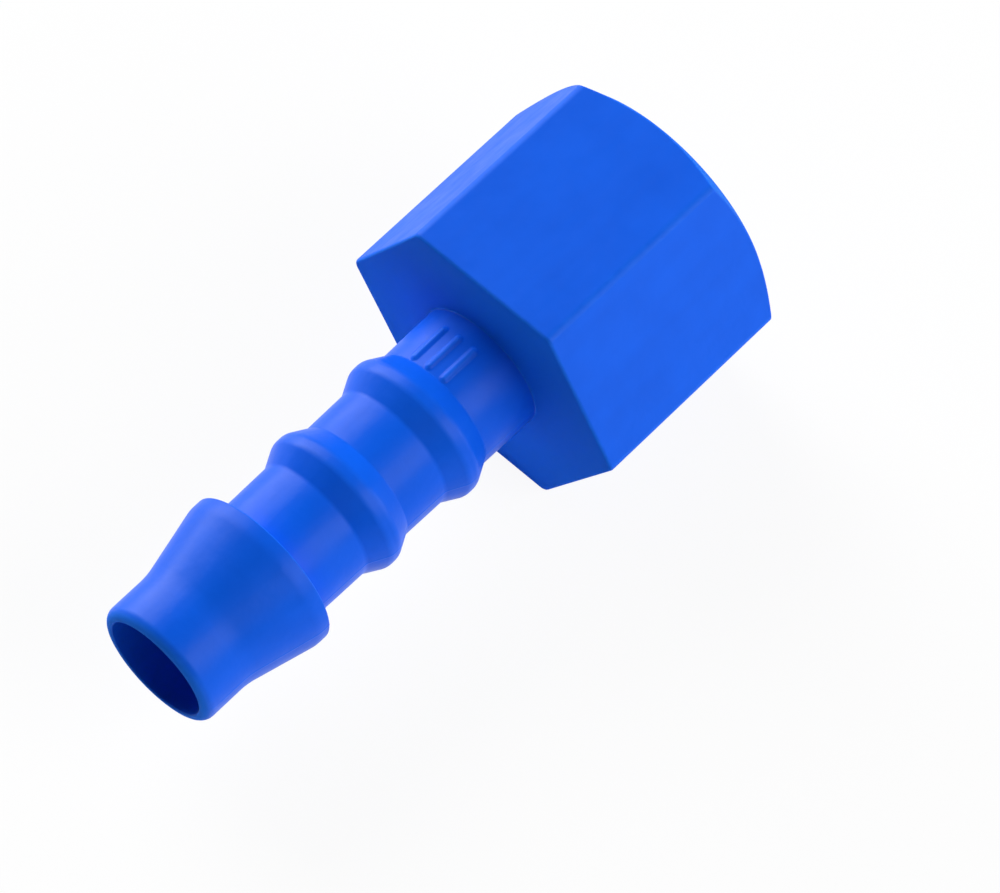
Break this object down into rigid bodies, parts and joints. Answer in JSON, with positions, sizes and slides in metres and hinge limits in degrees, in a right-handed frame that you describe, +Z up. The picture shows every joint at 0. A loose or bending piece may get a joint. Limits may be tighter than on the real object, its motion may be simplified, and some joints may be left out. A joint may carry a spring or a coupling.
{
  "type": "hose barb fitting",
  "caption": "One-piece moulded plastic fitting: a female threaded hexagon socket runs out into a barbed tail that a hose pushes onto.",
  "frame": {"origin": "on the fitting's axis, in the plane of the flat seat at the bottom of the threaded socket", "axes": "+X along the axis from the seat towards the tail's tip, +Z up and square to the hexagon flat that the fitting lies on, hexagon corners towards +Y and -Y"},
  "size_m": [0.0659, 0.0322, 0.028],
  "materials": {
    "moulded_nylon": "blue moulded nylon, glossy with a soft skin"
  },
  "bodies": {
    "root": {"fitting_body": "moulded_nylon"}
  },
  "joints": []
}
